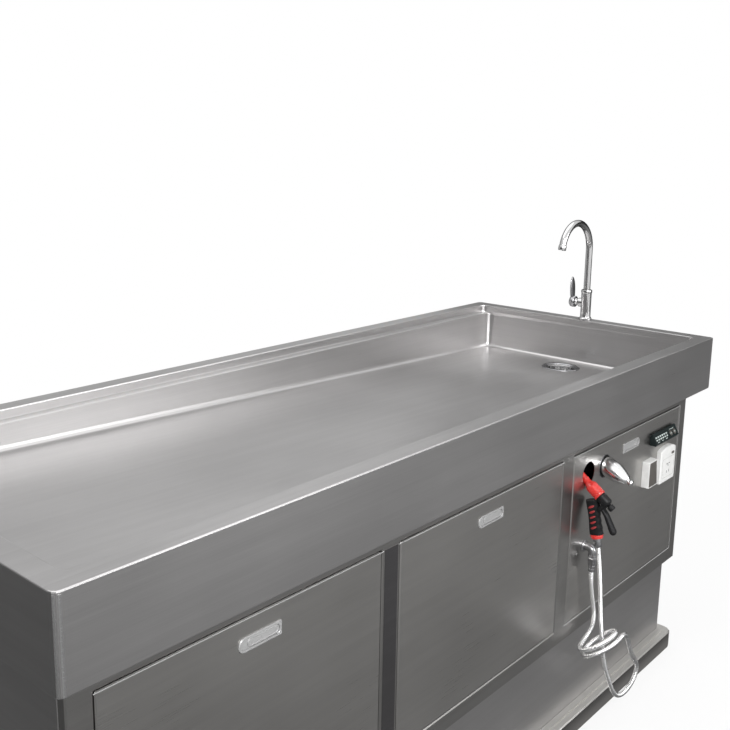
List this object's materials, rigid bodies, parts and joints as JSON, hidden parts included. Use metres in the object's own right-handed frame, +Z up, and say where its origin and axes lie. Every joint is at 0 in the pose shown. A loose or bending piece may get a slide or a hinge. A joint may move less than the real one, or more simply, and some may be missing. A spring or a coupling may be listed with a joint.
{
  "type": "autopsy table",
  "caption": "Height-adjustable stainless steel autopsy table with a sloped trough, drain, gooseneck tap, doors with flush pulls, mixer, holstered spray gun on a hose, switch, outlet, handset.",
  "frame": {"origin": "on the floor under the middle of the table", "axes": "+X along the table towards the tap end, -Y the front with doors and controls, +Z up"},
  "size_m": [2.2, 0.9341, 1.3359],
  "materials": {
    "stainless": "brushed",
    "base_steel": "dull",
    "chrome": "polished",
    "hose_metal": "ribbed",
    "brass": "plain",
    "white_plastic": "glossy",
    "grey_plastic": "satin",
    "black_plastic": "satin",
    "red_plastic": "glossy",
    "drive_paint": "satin",
    "pvc": "satin"
  },
  "bodies": {
    "base": {"base_plate": "base_steel", "plinth_cover": "stainless", "pedestal_skirt": "stainless", "column_outer_1": "stainless", "column_outer_2": "stainless", "lift_drive": "drive_paint", "drain_standpipe": "pvc"},
    "mid_stage": {"column_mid_1": "stainless", "column_mid_2": "stainless"},
    "lift": {"tub": "stainless", "cabinet_frame": "stainless", "front_frame": "stainless", "back_panel": "stainless", "end_panel_left": "stainless", "end_panel_right": "stainless", "control_panel": "stainless", "column_inner_1": "stainless", "column_inner_2": "stainless", "drain_body": "stainless", "drain_nut": "brass", "drain_trap": "pvc", "tap_body": "chrome", "tap_nut": "brass", "pull_plate_3": "chrome", "mixer_body": "brass", "supply_pipe_1": "brass", "supply_pipe_2": "brass", "outlet_elbow": "chrome", "hose_nut": "chrome", "hose_run": "hose_metal", "hose_coil": "hose_metal", "hose_loop": "hose_metal", "gun_connector": "chrome", "gun_collar": "red_plastic", "gun_grip": "black_plastic", "gun_barrel": "red_plastic", "switch_box": "white_plastic", "outlet_box": "white_plastic", "handset_body": "black_plastic"},
    "spout": {"tap_spout": "chrome", "tap_aerator": "chrome"},
    "tap_hub": {"tap_hub": "chrome"},
    "tap_lever": {"tap_lever": "chrome"},
    "strainer": {"strainer_basket": "stainless"},
    "door_1": {"door_1": "stainless", "pull_plate_1": "chrome"},
    "door_2": {"door_2": "stainless", "pull_plate_2": "chrome"},
    "pull_flap_1": {"pull_flap_1": "chrome"},
    "pull_flap_2": {"pull_flap_2": "chrome"},
    "pull_flap_3": {"pull_flap_3": "chrome"},
    "mixer_hub": {"mixer_hub": "chrome"},
    "mixer_lever": {"mixer_lever": "chrome"},
    "gun_trigger": {"gun_trigger": "black_plastic"},
    "gun_knob": {"gun_knob": "black_plastic"},
    "switch_rocker": {"switch_rocker": "grey_plastic"},
    "outlet_button": {"outlet_button": "grey_plastic"},
    "key_up": {"key_up": "grey_plastic"},
    "key_down": {"key_down": "grey_plastic"}
  },
  "joints": [
    {"name": "lift_height", "type": "slide", "parent": "base", "child": "lift", "axis": [0, 0, 1], "range_m": [-0.03, 0.2]},
    {"name": "mid_stage_height", "type": "slide", "parent": "base", "child": "mid_stage", "axis": [0, 0, 1], "range_m": [-0.015, 0.1]},
    {"name": "spout_swing", "type": "hinge", "parent": "lift", "child": "spout", "pos_m": [1.077, -0.006, 1.1046], "axis": [0, 0, 1], "range_deg": [-120, 120]},
    {"name": "tap_turn", "type": "hinge", "parent": "lift", "child": "tap_hub", "pos_m": [1.077, 0.0318, 1.0603], "axis": [0, 1, 0], "range_deg": [-45, 45]},
    {"name": "tap_open", "type": "hinge", "parent": "tap_hub", "child": "tap_lever", "pos_m": [1.077, 0.0318, 1.0603], "axis": [-1, 0, 0], "range_deg": [0, 25]},
    {"name": "strainer_out", "type": "slide", "parent": "lift", "child": "strainer", "axis": [0.0336, 0, 0.9994], "range_m": [0, 0.08]},
    {"name": "door_1_hinge", "type": "hinge", "parent": "lift", "child": "door_1", "pos_m": [-0.694, -0.3658, 0.3462], "axis": [1, 0, 0], "range_deg": [0, 90]},
    {"name": "door_2_hinge", "type": "hinge", "parent": "lift", "child": "door_2", "pos_m": [0, -0.3658, 0.3462], "axis": [1, 0, 0], "range_deg": [0, 90]},
    {"name": "pull_flap_1_hinge", "type": "hinge", "parent": "door_1", "child": "pull_flap_1", "pos_m": [-0.6513, -0.3711, 0.7547], "axis": [0, 0, 1], "range_deg": [0, 40], "stiffness_Nm_per_rad": 0.05},
    {"name": "pull_flap_2_hinge", "type": "hinge", "parent": "door_2", "child": "pull_flap_2", "pos_m": [0.0427, -0.3711, 0.7547], "axis": [0, 0, 1], "range_deg": [0, 40], "stiffness_Nm_per_rad": 0.05},
    {"name": "pull_flap_3_hinge", "type": "hinge", "parent": "lift", "child": "pull_flap_3", "pos_m": [0.6513, -0.3711, 0.7547], "axis": [0, 0, -1], "range_deg": [0, 40], "stiffness_Nm_per_rad": 0.05},
    {"name": "mixer_turn", "type": "hinge", "parent": "lift", "child": "mixer_hub", "pos_m": [0.543, -0.381, 0.733], "axis": [0, 1, 0], "range_deg": [-45, 45]},
    {"name": "mixer_open", "type": "hinge", "parent": "mixer_hub", "child": "mixer_lever", "pos_m": [0.543, -0.381, 0.733], "axis": [-1, 0, 0], "range_deg": [0, 25]},
    {"name": "trigger", "type": "hinge", "parent": "lift", "child": "gun_trigger", "pos_m": [0.445, -0.42003, 0.65705], "axis": [1, 0, 0], "range_deg": [0, 14], "stiffness_Nm_per_rad": 0.5},
    {"name": "flow_knob", "type": "hinge", "parent": "lift", "child": "gun_knob", "pos_m": [0.445, -0.43731, 0.66975], "axis": [0, -0.8028, -0.5962], "range_deg": [-180, 180]},
    {"name": "rocker", "type": "hinge", "parent": "lift", "child": "switch_rocker", "pos_m": [0.808, -0.3905, 0.6445], "axis": [1, 0, 0], "range_deg": [0, 8]},
    {"name": "outlet_press", "type": "slide", "parent": "lift", "child": "outlet_button", "axis": [0, 1, 0], "range_m": [0, 0.0012], "stiffness_N_per_m": 1500},
    {"name": "key_up_press", "type": "slide", "parent": "lift", "child": "key_up", "axis": [0, 0.8866, -0.4626], "range_m": [0, 0.001], "stiffness_N_per_m": 1500},
    {"name": "key_down_press", "type": "slide", "parent": "lift", "child": "key_down", "axis": [0, 0.8866, -0.4626], "range_m": [0, 0.001], "stiffness_N_per_m": 1500}
  ],
  "couplings": [
    {"joint": "mid_stage_height", "follows": "lift_height", "ratio": 0.5}
  ]
}
